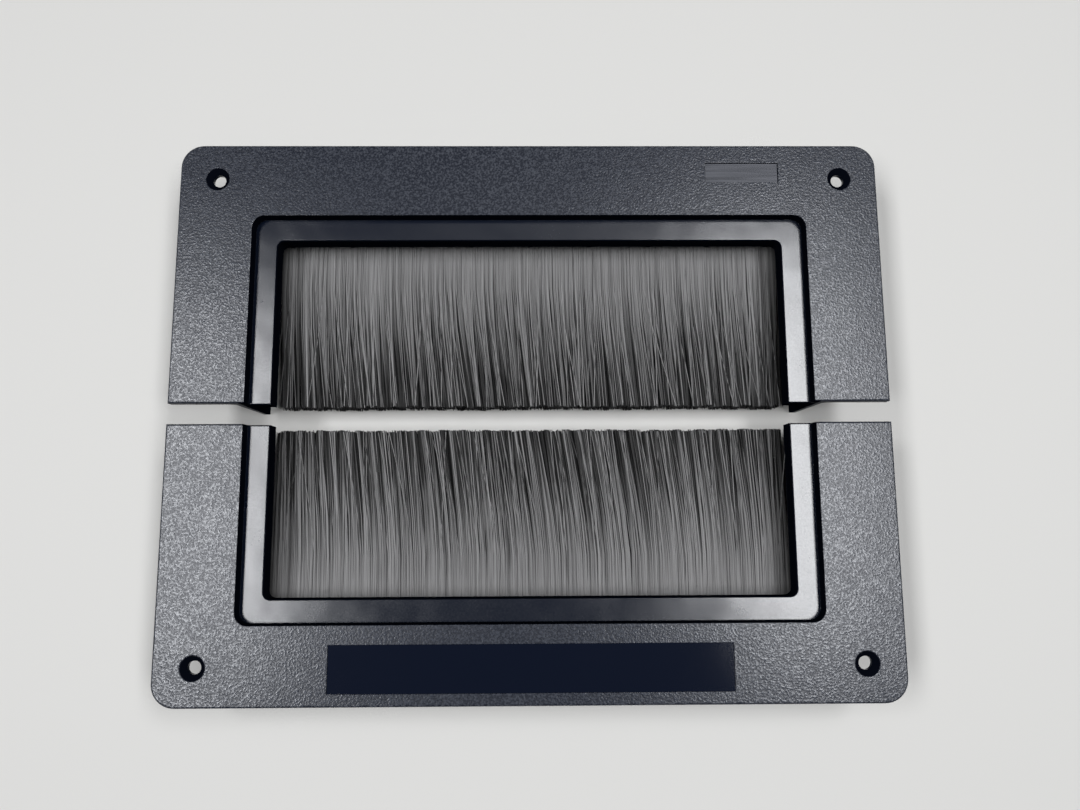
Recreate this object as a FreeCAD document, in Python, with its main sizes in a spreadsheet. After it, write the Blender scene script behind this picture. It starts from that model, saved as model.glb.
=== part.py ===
import FreeCAD, Part
import os
import Sketcher

# Split brush grommet for a cable cut-out in a raised floor. Two U-shaped halves lie opposite each other,
# and each holds two stacked strip brushes whose bristles reach from its far wall to the split.
# Every half is drawn in its own frame: X across, Y from the split edge to the far edge, and Z up from
# the foot of the collar, on which the part stands.

SIZES = (
    ("overall_width", 280.0, "flange, side to side"),
    ("half_depth", 105.0, "flange of one half, split edge to far edge"),
    ("overall_height", 35.0, "foot of the collar to the top of the flange"),
    ("split_gap", 8.0, "space between the two halves as they lie"),
    ("flange_thickness", 4.0, "plate that rests on the floor tile"),
    ("flange_corner", 9.0, "radius of the flange's outer corners"),
    ("edge_round", 0.8, "round of the flange's upper edges"),
    ("opening_width", 203.0, "clear opening, side to side"),
    ("opening_depth", 66.5, "clear opening of one half, split edge to lip"),
    ("opening_corner", 2.8, "radius of the opening's corners"),
    ("band_width", 8.6, "smooth band round the opening"),
    ("band_thickness", 3.0, "wall of the band"),
    ("band_chamfer", 0.4, "chamfer along the band's inner edge and its ends"),
    ("recess_depth", 4.6, "band below the top of the flange"),
    ("recess_draft", 0.5, "lean of the recess wall over its depth"),
    ("recess_corner", 5.0, "radius of the recess at the flange"),
    ("lip_drop", 7.4, "lip below the band"),
    ("lip_wall", 2.5, "wall of the lip"),
    ("collar_margin", 4.5, "recess edge to the outside of the collar"),
    ("collar_wall", 3.6, "wall of the collar under the flange"),
    ("collar_draft", 1.0, "lean of the collar over its height"),
    ("bay_corner", 3.0, "radius of the corners inside the collar"),
    ("collar_chamfer", 1.5, "chamfer between flange and collar"),
    ("screw_side", 15.0, "floor screw holes to the sides of the flange"),
    ("screw_inset", 14.3, "floor screw holes to the far edge"),
    ("screw_hole", 5.0, "diameter through the flange"),
    ("screw_sink", 9.6, "diameter of the countersink"),
    ("screw_sink_angle", 90.0, "angle of the countersink"),
    ("label_length", 151.0, "smooth sunk strip on the front flange"),
    ("label_gap", 7.1, "sunk strip to the recess"),
    ("label_inset", 4.7, "sunk strip to the far edge"),
    ("label_sink", 0.5, "depth of the sunk strip"),
    ("insert_length", 29.5, "small sunk field on the rear flange"),
    ("insert_width", 8.2, "small sunk field, front to back"),
    ("insert_offset", 85.6, "middle of the small field from the middle of the half"),
    ("insert_inset", 7.5, "small field to the far edge"),
    ("insert_sink", 0.4, "depth of the small field"),
    ("rib_thickness", 1.8, "ribs between lip and collar"),
    ("rib_count", 9, "ribs over the brush strips"),
    ("rib_inset", 4.6, "end of a strip to the middle of the last rib"),
    ("arm_rib_count", 3, "ribs along each arm"),
    ("arm_rib_pitch", 26.0, "ribs along each arm, one to the next"),
    ("boss_diameter", 7.0, "screw bosses at the ends of the strips"),
    ("boss_inset", 3.2, "axis of a boss from the inside of the collar"),
    ("pilot_diameter", 2.6, "hole in a boss"),
    ("pilot_spare", 1.5, "hole in a boss beyond the end of its screw"),
    ("fit_clearance", 0.1, "play between pieces that fit together"),
    ("strip_end_gap", 0.5, "end of a strip to the boss beside it"),
    ("channel_height", 6.0, "brush channel, outside"),
    ("channel_depth", 6.0, "brush channel, back to mouth"),
    ("channel_wall", 0.8, "sheet of the channel"),
    ("channel_bend", 1.2, "outer radius of the channel's bends"),
    ("channel_pinch", 0.45, "how far each edge of the mouth is pressed in"),
    ("pinch_length", 1.5, "pressed-in stretch at the mouth"),
    ("wire_diameter", 1.6, "core wire that the filaments are folded over"),
    ("fold_round", 1.7, "round of the folded filaments at the back"),
    ("tip_clearance", 0.5, "bristle tips short of the split"),
    ("layer_gap", 0.05, "half of the space between the two layers at the tips"),
    ("tuft_groups", 12, "groups of four unequal tufts in one layer"),
    ("furrow_width", 2.2, "furrow between two tufts at the tips"),
    ("furrow_depth", 1.6, "depth of the furrow at the tips"),
    ("furrow_length", 44.0, "how far the furrow runs from the tips"),
    ("tuft_gap", 0.5, "gap between two tufts at the tips"),
    ("tuft_gap_length", 38.0, "how far the gap runs from the tips"),
    ("short_tuft", 0.3, "how much shorter the second tuft of a group is"),
    ("shorter_tuft", 0.6, "how much shorter the last tuft of a group is"),
    ("tuft_lean", 3.5, "how far the tufts lean to one side at the tips"),
    ("retainer_lift", 1.8, "retainer above the foot of the collar"),
    ("retainer_thickness", 2.4, "plate of the retainer"),
    ("catch_height", 1.0, "edge that keeps a channel from sliding out"),
    ("head_diameter", 5.2, "head of a retainer screw"),
    ("head_height", 1.4, "head of a retainer screw"),
    ("screw_reach", 11.0, "shank of a retainer screw under its head"),
    ("screw_play", 0.3, "hole in the retainer round the shank"),
)

OVERRUN = 1.0  # how far a cut starts outside the solid
FADE_LIFT = 0.2  # how far above the bristles a furrow's bottom line comes out
TUFT_PLACES = (0.0, 0.21, 0.50, 0.72)  # where the tufts of a group begin, as shares of the group
SHORT_TUFTS = ((1, "short_tuft"), (3, "shorter_tuft"))  # tufts of a group that are cut shorter
LOWER_PHASE = 0.05  # start of the lower layer's first group, as a share of a group from the end
UPPER_PHASE = 0.14  # start of the upper layer's first group
TOUCH = 1e-4  # two lengths closer than this are the same


class Dim:
    """A length as a sheet expression, together with its present value."""

    def __init__(self, text, value):
        self.text = text
        self.value = value

    def joined(self, sign, other, result):
        other_text = other.text if isinstance(other, Dim) else repr(float(other))
        return Dim(f"({self.text} {sign} {other_text})", result)

    def __add__(self, other):
        return self.joined("+", other, self.value + amount(other))

    def __sub__(self, other):
        return self.joined("-", other, self.value - amount(other))

    def __mul__(self, other):
        return self.joined("*", other, self.value * amount(other))

    def __truediv__(self, other):
        return self.joined("/", other, self.value / amount(other))

    def __neg__(self):
        return Dim(f"(-{self.text})", -self.value)


def amount(item):
    """Present value of a Dim or of a plain number."""
    return item.value if isinstance(item, Dim) else float(item)


doc = FreeCAD.newDocument("brush_grommet")
sheet = doc.addObject("Spreadsheet::Sheet", "Sizes")
for row, (alias, value, meaning) in enumerate(SIZES, start=1):
    sheet.set(f"A{row}", alias)
    sheet.set(f"B{row}", str(value))
    sheet.setAlias(f"B{row}", alias)
    sheet.set(f"C{row}", meaning)
doc.recompute()


def dim(alias):
    """The sheet's cell of that name."""
    return Dim(f"Sizes.{alias}", float(sheet.get(alias)))


ZERO = Dim("0", 0.0)
OUTSIDE = Dim(str(-OVERRUN), -OVERRUN)

# Levels above the foot of the collar
top = dim("overall_height")
flange_under = top - dim("flange_thickness")
band_level = top - dim("recess_depth")
band_under = band_level - dim("band_thickness")
lip_level = band_level - dim("lip_drop")
retainer_foot = dim("retainer_lift")
brush_foot = retainer_foot + dim("retainer_thickness")
brush_top = brush_foot + dim("channel_height") * 2
catch_level = brush_top - dim("catch_height")

# Half widths, and distances from the split edge to the far wall
flange_half = dim("overall_width") / 2
flange_far = dim("half_depth")
opening_half = dim("opening_width") / 2
opening_far = dim("opening_depth")
lip_half = opening_half + dim("lip_wall")
lip_far = opening_far + dim("lip_wall")
band_half = opening_half + dim("band_width")
band_far = opening_far + dim("band_width")
recess_half = band_half + dim("recess_draft")
recess_far = band_far + dim("recess_draft")
collar_half = recess_half + dim("collar_margin")
collar_far = recess_far + dim("collar_margin")
screw_x = flange_half - dim("screw_side")
screw_y = flange_far - dim("screw_inset")
label_width = flange_far - recess_far - dim("label_inset") - dim("label_gap")
foot_half = collar_half - dim("collar_draft")
foot_far = collar_far - dim("collar_draft")
bay_half = collar_half - dim("collar_wall")
bay_far = collar_far - dim("collar_wall")

# Corner radii that follow from the walls
band_corner = dim("recess_corner") - dim("recess_draft")
collar_corner = dim("recess_corner") + dim("collar_margin")
foot_corner = collar_corner - dim("collar_draft")
lip_corner = dim("opening_corner") + dim("lip_wall")

# Brush strips between the bosses
boss_x = bay_half - dim("boss_inset")
boss_y = (lip_far + bay_far) / 2
strip_half = boss_x - dim("boss_diameter") / 2 - dim("strip_end_gap")
strip_length = strip_half * 2
channel_back = bay_far - dim("fit_clearance")
channel_mouth = channel_back - dim("channel_depth")
channel_half = dim("channel_height") / 2
pinch_end = channel_mouth + dim("pinch_length")
cavity_back = channel_back - dim("channel_wall")
cavity_half = channel_half - dim("channel_wall")
mouth_half = cavity_half - dim("channel_pinch")
fold_half = cavity_half - dim("fit_clearance")
fold_back = cavity_back - dim("fit_clearance")
wire_y = fold_back - fold_half
tip_y = dim("tip_clearance")
tip_half = channel_half - dim("layer_gap")
root_half = mouth_half - dim("fit_clearance")
group_pitch = strip_length / dim("tuft_groups")
fade_y = tip_y + dim("furrow_length")
gap_end_y = tip_y + dim("tuft_gap_length")
fade_half = tip_half - (tip_half - root_half) * dim("furrow_length") / (channel_mouth - tip_y) + FADE_LIFT
catch_back = channel_mouth - dim("fit_clearance")


def origin_feature(body, role):
    """Axis or plane of a body's own origin."""
    return next(item for item in body.Origin.OriginFeatures if item.Role == role)


def new_body(label):
    """Empty body whose label names its file."""
    body = doc.addObject("PartDesign::Body", label)
    body.Label = label
    return body


def new_sketch(body, name, role, level=None):
    """Sketch on one of the body's own planes, raised along the plane's normal."""
    sketch = body.newObject("Sketcher::SketchObject", name)
    sketch.AttachmentSupport = [(origin_feature(body, role), "")]
    sketch.MapMode = "FlatFace"
    if level is not None:
        sketch.setExpression("AttachmentOffset.Base.z", level.text)
    return sketch


def bind(sketch, index, length):
    """Tie a dimension of a sketch to the sheet."""
    sketch.setExpression(f"Constraints[{index}]", length.text)


def hold(sketch, geometry, point, kind, length):
    """Dimension one point of a sketch from the sketch's origin."""
    if abs(length.value) < TOUCH:
        axis = -1 if kind == "DistanceY" else -2
        sketch.addConstraint(Sketcher.Constraint("PointOnObject", geometry, point, axis))
        return
    ends = (-1, 1, geometry, point)
    if length.value < 0:
        ends = (geometry, point, -1, 1)
        length = -length
    bind(sketch, sketch.addConstraint(Sketcher.Constraint(kind, *ends, length.value)), length)


def point_of(corner):
    """Present place of a corner."""
    return FreeCAD.Vector(corner[0].value, corner[1].value, 0)


def radius_of(corner):
    """Present radius of a corner, zero where it is sharp."""
    return corner[2].value if len(corner) == 3 else 0.0


def round_corner(sketch, before, after, corner, incoming, outgoing):
    """Arc between two runs that meet square at a corner."""
    radius = radius_of(corner)
    centre = point_of(corner) - incoming * radius + outgoing * radius
    start = point_of(corner) - incoming * radius
    end = point_of(corner) + outgoing * radius
    left_turn = incoming.cross(outgoing).z > 0
    middle = centre + (point_of(corner) - centre).normalize() * radius
    arc = sketch.addGeometry(Part.Arc(start, middle, end))
    first, last = (1, 2) if left_turn else (2, 1)
    sketch.addConstraint(Sketcher.Constraint("Tangent", before, 2, arc, first))
    sketch.addConstraint(Sketcher.Constraint("Tangent", arc, last, after, 1))
    bind(sketch, sketch.addConstraint(Sketcher.Constraint("Radius", arc, radius)), corner[2])


def outline(sketch, corners):
    """Closed outline through corners of (x, y), or (x, y, radius) where two square runs are rounded."""
    count = len(corners)
    runs = []
    directions = []
    known = [set() for _ in corners]
    for index, corner in enumerate(corners):
        following = corners[(index + 1) % count]
        direction = (point_of(following) - point_of(corner)).normalize()
        start = point_of(corner) + direction * radius_of(corner)
        end = point_of(following) - direction * radius_of(following)
        run = sketch.addGeometry(Part.LineSegment(start, end))
        for kind, square, across, place in (
            ("DistanceY", "Horizontal", direction.y, corner[1]),
            ("DistanceX", "Vertical", direction.x, corner[0]),
        ):
            if abs(across) < TOUCH:
                sketch.addConstraint(Sketcher.Constraint(square, run))
                hold(sketch, run, 1, kind, place)
                known[index].add(kind)
                known[(index + 1) % count].add(kind)
        runs.append(run)
        directions.append(direction)
    for index, corner in enumerate(corners):
        before, after = runs[index - 1], runs[index]
        if radius_of(corner) > 0:
            round_corner(sketch, before, after, corner, directions[index - 1], directions[index])
            continue
        sketch.addConstraint(Sketcher.Constraint("Coincident", before, 2, after, 1))
        for kind, place in (("DistanceX", corner[0]), ("DistanceY", corner[1])):
            if kind not in known[index]:
                hold(sketch, after, 1, kind, place)


def rectangle(sketch, left, right, low, high):
    """Closed rectangle."""
    outline(sketch, [(left, low), (right, low), (right, high), (left, high)])


def bay(sketch, half, near, far, corner):
    """Outline of one half's bay: square at the split and rounded at its far corners."""
    outline(sketch, [(-half, near), (half, near), (half, far, corner), (-half, far, corner)])


def circle(sketch, x, y, diameter):
    """Full circle about a point."""
    shape = Part.Circle(FreeCAD.Vector(x.value, y.value, 0), FreeCAD.Vector(0, 0, 1), diameter.value / 2)
    geometry = sketch.addGeometry(shape)
    hold(sketch, geometry, 3, "DistanceX", x)
    hold(sketch, geometry, 3, "DistanceY", y)
    bind(sketch, sketch.addConstraint(Sketcher.Constraint("Diameter", geometry, diameter.value)), diameter)


def pad(body, sketch, length, side="One side"):
    """Raise a sketch along its normal, or to both sides of its plane."""
    feature = body.newObject("PartDesign::Pad", f"{sketch.Name}_pad")
    feature.Profile = (sketch, [""])
    feature.SideType = side
    feature.setExpression("Length", length.text)
    return feature


def cut(body, sketch, length=None, along_normal=True):
    """Cut a sketch into the body, to a depth or right through."""
    feature = body.newObject("PartDesign::Pocket", f"{sketch.Name}_cut")
    feature.Profile = (sketch, [""])
    feature.Reversed = along_normal
    if length is None:
        feature.Type = "ThroughAll"
    else:
        feature.setExpression("Length", length.text)
    return feature


def row_of(body, features, axis, pitch, count_text):
    """Repeat features along an axis of the body."""
    pattern = body.newObject("PartDesign::LinearPattern", f"{features[0].Name}_row")
    pattern.Originals = features
    pattern.Direction = (origin_feature(body, axis), [""])
    pattern.Mode = "Spacing"
    pattern.setExpression("Offset", pitch.text)
    pattern.setExpression("Occurrences", count_text)
    body.Tip = pattern
    return pattern


def dress_edges(body, kind, measure, size, wanted):
    """Fillet or chamfer the edges of the body's last feature that pass a test."""
    doc.recompute()
    base = body.Tip
    names = [f"Edge{n}" for n, edge in enumerate(base.Shape.Edges, start=1) if wanted(edge)]
    feature = body.newObject(f"PartDesign::{kind}", f"{base.Name}_{kind.lower()}")
    feature.Base = (base, names)
    feature.setExpression(measure, size.text)


def level_edge(edge, height):
    """True where an edge lies flat at one height."""
    return all(abs(vertex.Z - height.value) < TOUCH for vertex in edge.Vertexes)


def middle_of(edge):
    """Point halfway along an edge."""
    return edge.valueAt((edge.FirstParameter + edge.LastParameter) / 2)


def flange_rim_edge(edge):
    """Upper rim of the flange: its sides, its far side with the corners, and its split edges."""
    if not level_edge(edge, top):
        return False
    middle = middle_of(edge)
    inside_x = flange_half.value - dim("flange_corner").value
    inside_y = flange_far.value - dim("flange_corner").value
    at_side = abs(abs(middle.x) - flange_half.value) < TOUCH
    at_end = abs(middle.y) < TOUCH or abs(middle.y - flange_far.value) < TOUCH
    return at_side or at_end or (abs(middle.x) > inside_x and middle.y > inside_y and
                                 abs(edge.Curve.Radius - dim("flange_corner").value) < TOUCH)


def band_free_edge(edge):
    """Inner edge of the band, round the opening, and its ends at the split."""
    if not level_edge(edge, band_level):
        return False
    middle = middle_of(edge)
    at_opening = abs(middle.x) < opening_half.value + TOUCH and middle.y < opening_far.value + TOUCH
    return at_opening or abs(middle.y) < TOUCH


def collar_wall_face(face):
    """Outer wall of the collar, between its foot and the flange."""
    box = face.BoundBox
    full_height = abs(box.ZMin) < TOUCH and abs(box.ZMax - flange_under.value) < TOUCH
    return full_height and box.YMax > TOUCH


def collar_root_edge(edge):
    """Edge where the collar leaves the underside of the flange."""
    if not level_edge(edge, flange_under):
        return False
    middle = middle_of(edge)
    return abs(middle.x) < collar_half.value + TOUCH and TOUCH < middle.y < collar_far.value + TOUCH


def add_flange_and_collar(body):
    """Flange plate with the collar under it, which leans in towards its foot."""
    flange = new_sketch(body, "flange", "XY_Plane", flange_under)
    bay(flange, flange_half, ZERO, flange_far, dim("flange_corner"))
    pad(body, flange, dim("flange_thickness"))
    foot = new_sketch(body, "collar_foot", "XY_Plane")
    bay(foot, foot_half, ZERO, foot_far, foot_corner)
    pad(body, foot, flange_under)
    doc.recompute()
    base = body.Tip
    walls = [f"Face{n}" for n, face in enumerate(base.Shape.Faces, start=1) if collar_wall_face(face)]
    lean = body.newObject("PartDesign::Draft", "collar_lean")
    lean.Base = (base, walls)
    lean.NeutralPlane = (origin_feature(body, "XY_Plane"), [""])
    lean.Reversed = True
    lean.setExpression("Angle", f"atan({dim('collar_draft').text} / {flange_under.text})")
    dress_edges(body, "Chamfer", "Size", dim("collar_chamfer"), collar_root_edge)


def add_opening(body):
    """Recess with its leaning wall, the opening, and the hollow between lip and collar."""
    edge = new_sketch(body, "recess_edge", "XY_Plane", top)
    bay(edge, recess_half, OUTSIDE, recess_far, dim("recess_corner"))
    floor = new_sketch(body, "recess_floor", "XY_Plane", band_level)
    bay(floor, band_half, OUTSIDE, band_far, band_corner)
    recess = body.newObject("PartDesign::SubtractiveLoft", "recess")
    recess.Profile = (edge, [""])
    recess.Sections = [(floor, [""])]
    recess.Ruled = True
    opening = new_sketch(body, "opening", "XY_Plane")
    bay(opening, opening_half, OUTSIDE, opening_far, dim("opening_corner"))
    cut(body, opening)
    hollow = new_sketch(body, "hollow", "XY_Plane")
    bay(hollow, bay_half, OUTSIDE, bay_far, dim("bay_corner"))
    cut(body, hollow, lip_level)
    trough = new_sketch(body, "trough", "XY_Plane", lip_level)
    outline(trough, [
        (-bay_half, OUTSIDE), (-lip_half, OUTSIDE), (-lip_half, lip_far, lip_corner),
        (lip_half, lip_far, lip_corner), (lip_half, OUTSIDE), (bay_half, OUTSIDE),
        (bay_half, bay_far, dim("bay_corner")), (-bay_half, bay_far, dim("bay_corner")),
    ])
    cut(body, trough, band_under - lip_level)
    dress_edges(body, "Chamfer", "Size", dim("band_chamfer"), band_free_edge)


def add_ribs(body):
    """Ribs that stiffen the arms, and ribs that the upper brush channel is pressed against."""
    arm = new_sketch(body, "arm_rib", "XY_Plane", lip_level)
    for left, right in ((-bay_half, -lip_half), (lip_half, bay_half)):
        rectangle(arm, left, right, ZERO, dim("rib_thickness"))
    arm_pad = pad(body, arm, band_under - lip_level)
    row_of(body, [arm_pad], "Y_Axis", dim("arm_rib_pitch"), "Sizes.arm_rib_count")
    first = strip_half - dim("rib_inset")
    seat = new_sketch(body, "seat_rib", "YZ_Plane", -first)
    outline(seat, [
        (lip_far, catch_level), (catch_back, catch_level), (catch_back, brush_top),
        (bay_far, brush_top), (bay_far, band_under), (lip_far, band_under),
    ])
    seat_pad = pad(body, seat, dim("rib_thickness"), "Symmetric")
    row_of(body, [seat_pad], "X_Axis", first * 2 / (dim("rib_count") - 1), "Sizes.rib_count")


def add_bosses(body):
    """Screw bosses in the two far corners, with their pilot holes."""
    boss = new_sketch(body, "boss", "XY_Plane", brush_foot + dim("fit_clearance"))
    pilot = new_sketch(body, "pilot", "XY_Plane")
    for x in (-boss_x, boss_x):
        circle(boss, x, boss_y, dim("boss_diameter"))
        circle(pilot, x, boss_y, dim("pilot_diameter"))
    pad(body, boss, band_under - brush_foot - dim("fit_clearance"))
    cut(body, pilot, retainer_foot + dim("screw_reach") + dim("pilot_spare"))


def add_screw_holes(body):
    """Countersunk holes for the floor screws."""
    centres = new_sketch(body, "floor_screws", "XY_Plane", top)
    for x in (-screw_x, screw_x):
        circle(centres, x, screw_y, dim("screw_hole"))
    doc.recompute()
    hole = body.newObject("PartDesign::Hole", "floor_screw_holes")
    hole.Profile = (centres, [""])
    hole.ThreadType = "None"
    hole.DepthType = "ThroughAll"
    hole.HoleCutType = "Countersink"
    hole.HoleCutCustomValues = True
    hole.setExpression("Diameter", dim("screw_hole").text)
    hole.setExpression("HoleCutDiameter", dim("screw_sink").text)
    hole.setExpression("HoleCutCountersinkAngle", dim("screw_sink_angle").text)


def add_sunk_field(body, name, middle, length, width, inset, depth):
    """Shallow rectangular field near the far edge of the flange."""
    field = new_sketch(body, name, "XY_Plane", top)
    far = flange_far - inset
    rectangle(field, middle - length / 2, middle + length / 2, far - width, far)
    cut(body, field, depth, along_normal=False)


def make_frame(side):
    """One half's moulding."""
    body = new_body(f"{side}_frame")
    add_flange_and_collar(body)
    add_opening(body)
    add_ribs(body)
    add_bosses(body)
    add_screw_holes(body)
    if side == "front":
        add_sunk_field(body, "label_strip", ZERO, dim("label_length"), label_width,
                       dim("label_inset"), dim("label_sink"))
    else:
        add_sunk_field(body, "insert_field", dim("insert_offset"), dim("insert_length"),
                       dim("insert_width"), dim("insert_inset"), dim("insert_sink"))
    dress_edges(body, "Fillet", "Radius", dim("edge_round"), flange_rim_edge)
    return body


def make_channel(label, axis_level):
    """Folded channel that grips the filaments, with its mouth towards the split."""
    body = new_body(label)
    wall = dim("channel_wall")
    pinch = dim("channel_pinch")
    inner_bend = dim("channel_bend") - wall
    low, high = axis_level - channel_half, axis_level + channel_half
    section = new_sketch(body, "channel_section", "YZ_Plane")
    outline(section, [
        (channel_mouth, low + pinch), (pinch_end, low), (channel_back, low, dim("channel_bend")),
        (channel_back, high, dim("channel_bend")), (pinch_end, high), (channel_mouth, high - pinch),
        (channel_mouth, high - pinch - wall), (pinch_end, high - wall),
        (cavity_back, high - wall, inner_bend), (cavity_back, low + wall, inner_bend),
        (pinch_end, low + wall), (channel_mouth, low + pinch + wall),
    ])
    pad(body, section, strip_length, "Symmetric")
    return body


def make_wire(label, axis_level):
    """Core wire in the fold of the filaments."""
    body = new_body(label)
    section = new_sketch(body, "wire_section", "YZ_Plane")
    circle(section, wire_y, axis_level, dim("wire_diameter"))
    pad(body, section, strip_length, "Symmetric")
    return body


def cut_furrow(body, name, x, axis_level, outward):
    """V-shaped furrow in a layer's outward face, leaning, deepest at the tips and fading to the channel."""
    rise = (dim("furrow_depth") + OVERRUN) * outward
    open_half = dim("furrow_width") / 2 / dim("furrow_depth") * (dim("furrow_depth") + OVERRUN)
    sections = []
    for station, y, middle, bottom in (
        ("tips", ZERO, x + dim("tuft_lean"), axis_level + (tip_half - dim("furrow_depth")) * outward),
        ("fade", fade_y, x, axis_level + fade_half * outward),
    ):
        section = new_sketch(body, f"{name}_{station}", "XZ_Plane", -y)
        left, right = middle - open_half, middle + open_half
        outline(section, [(left, bottom + rise), (right, bottom + rise), (middle, bottom)])
        sections.append(section)
    furrow = body.newObject("PartDesign::SubtractiveLoft", name)
    furrow.Profile = (sections[0], [""])
    furrow.Sections = [(sections[1], [""])]
    furrow.Ruled = True
    return furrow


def make_bristles(label, axis_level, outward, phase):
    """Filaments folded over the wire, spreading from the channel's mouth into tufts at the split.

    The furrows are on the layer's outward face: 1.0 is its top and -1.0 its underside. The phase moves the
    tufts of one layer along, as a share of a group, so that the layers cover each other.
    """
    body = new_body(label)
    section = new_sketch(body, "bristle_section", "YZ_Plane")
    outline(section, [
        (tip_y, axis_level - tip_half), (channel_mouth, axis_level - root_half),
        (pinch_end, axis_level - fold_half), (fold_back, axis_level - fold_half, dim("fold_round")),
        (fold_back, axis_level + fold_half, dim("fold_round")), (pinch_end, axis_level + fold_half),
        (channel_mouth, axis_level + root_half), (tip_y, axis_level + tip_half),
    ])
    circle(section, wire_y, axis_level, dim("wire_diameter") + dim("fit_clearance") * 2)
    pad(body, section, strip_length, "Symmetric")

    lean = dim("tuft_lean")
    bare_end = new_sketch(body, "bare_end", "XY_Plane")
    outline(bare_end, [(-strip_half, OUTSIDE), (lean - strip_half, OUTSIDE), (-strip_half, fade_y)])
    cut(body, bare_end)
    places = [group_pitch * (share + phase) - strip_half for share in (*TUFT_PLACES, 1.0)]
    for tuft, shortening in SHORT_TUFTS:
        trim = new_sketch(body, f"{shortening}_trim", "XY_Plane")
        rectangle(trim, places[tuft] + lean, places[tuft + 1] + lean, OUTSIDE, tip_y + dim(shortening))
        row_of(body, [cut(body, trim)], "X_Axis", group_pitch, "Sizes.tuft_groups")
    for number, x in enumerate(places[:-1], start=1):
        furrow = cut_furrow(body, f"furrow_{number}", x, axis_level, outward)
        parting = new_sketch(body, f"parting_{number}", "XY_Plane")
        outline(parting, [
            (x + lean - dim("tuft_gap") / 2, OUTSIDE), (x + lean + dim("tuft_gap") / 2, OUTSIDE),
            (x + lean * (fade_y - gap_end_y) / fade_y, gap_end_y),
        ])
        row_of(body, [furrow, cut(body, parting)], "X_Axis", group_pitch, "Sizes.tuft_groups")
    return body


def make_retainer(label):
    """Bar that closes the strips' pocket from below, with a raised edge in front of the lower channel."""
    body = new_body(label)
    half = bay_half - dim("fit_clearance")
    plate = new_sketch(body, "retainer_plate", "XY_Plane", retainer_foot)
    bay(plate, half, lip_far, channel_back, dim("bay_corner"))
    pad(body, plate, dim("retainer_thickness"))
    edge = new_sketch(body, "retainer_edge", "XY_Plane", brush_foot)
    rectangle(edge, -strip_half, strip_half, lip_far, catch_back)
    pad(body, edge, dim("catch_height"))
    holes = new_sketch(body, "retainer_holes", "XY_Plane", retainer_foot)
    for x in (-boss_x, boss_x):
        circle(holes, x, boss_y, dim("pilot_diameter") + dim("screw_play") * 2)
    cut(body, holes)
    return body


def make_screws(label):
    """The two blunt retainer screws of one half, a group of separate solids."""
    screw = new_body(f"{label}_one")
    head_half = dim("head_diameter") / 2
    shank_half = dim("pilot_diameter") / 2 - dim("fit_clearance")
    section = new_sketch(screw, "screw_section", "XZ_Plane")
    outline(section, [
        (ZERO, -dim("head_height")), (head_half, -dim("head_height")), (head_half, ZERO), (shank_half, ZERO),
        (shank_half, dim("screw_reach")), (ZERO, dim("screw_reach")),
    ])
    turned = screw.newObject("PartDesign::Revolution", "screw_turned")
    turned.Profile = (section, [""])
    turned.ReferenceAxis = (section, ["V_Axis"])
    for axis, place in (("x", boss_x), ("y", boss_y), ("z", retainer_foot)):
        screw.setExpression(f"Placement.Base.{axis}", place.text)
    other = doc.addObject("Part::Mirroring", f"{label}_other")
    other.Source = screw
    other.Normal = FreeCAD.Vector(1, 0, 0)
    group = doc.addObject("Part::Compound", label)
    group.Label = label
    group.Links = [screw, other]
    return group


HALF_TURN = FreeCAD.Placement(FreeCAD.Vector(), FreeCAD.Rotation(FreeCAD.Vector(0, 0, 1), 180))


def make_rear_fittings():
    """Brush strips and retainer of the rear half, which both halves share."""
    pieces = []
    for layer, axis_level, outward, phase in (
        ("lower", brush_foot + channel_half, -1.0, LOWER_PHASE),
        ("upper", brush_top - channel_half, 1.0, UPPER_PHASE),
    ):
        pieces.append(make_channel(f"rear_{layer}_brush_channel", axis_level))
        pieces.append(make_wire(f"rear_{layer}_brush_wire", axis_level))
        pieces.append(make_bristles(f"rear_{layer}_bristles", axis_level, outward, phase))
    pieces.append(make_retainer("rear_retainer"))
    pieces.append(make_screws("rear_retainer_screws"))
    return pieces


def fit_front(piece):
    """The same piece again in the front half, turned round to face the rear one."""
    label = piece.Label.replace("rear", "front")
    twin = doc.addObject("Part::Compound", label)
    twin.Label = label
    twin.Links = [piece]
    twin.Placement = HALF_TURN
    return twin


rear_fittings = make_rear_fittings()
rear_nodes = [make_frame("rear")] + rear_fittings
front_frame = make_frame("front")
front_frame.Placement = HALF_TURN
front_frame.setExpression("Placement.Base.y", (dim("split_gap") / -2).text)
for piece in rear_nodes:
    piece.setExpression("Placement.Base.y", (dim("split_gap") / 2).text)
nodes = rear_nodes + [front_frame] + [fit_front(piece) for piece in rear_fittings]
doc.recompute()

for item in doc.Objects:
    if any(flag in ("Invalid", "Error") for flag in item.State):
        raise RuntimeError(f"{item.Label} failed: {item.State}")
for node in nodes:
    if node.Shape.isNull() or not node.Shape.isValid():
        raise RuntimeError(f"{node.Label} has no valid shape")

os.makedirs("parts", exist_ok=True)
for node in nodes:
    node.Shape.exportStep(f"parts/{node.Label}.step")
    print(f"{node.Label}: {len(node.Shape.Solids)} solid(s), {node.Shape.Volume:.0f} mm3")
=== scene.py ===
import logging
import math
from collections.abc import Mapping
from dataclasses import dataclass
from enum import Enum
from typing import Any

import bmesh
import bpy
import numpy as np
from mathutils import Matrix, Vector


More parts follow.
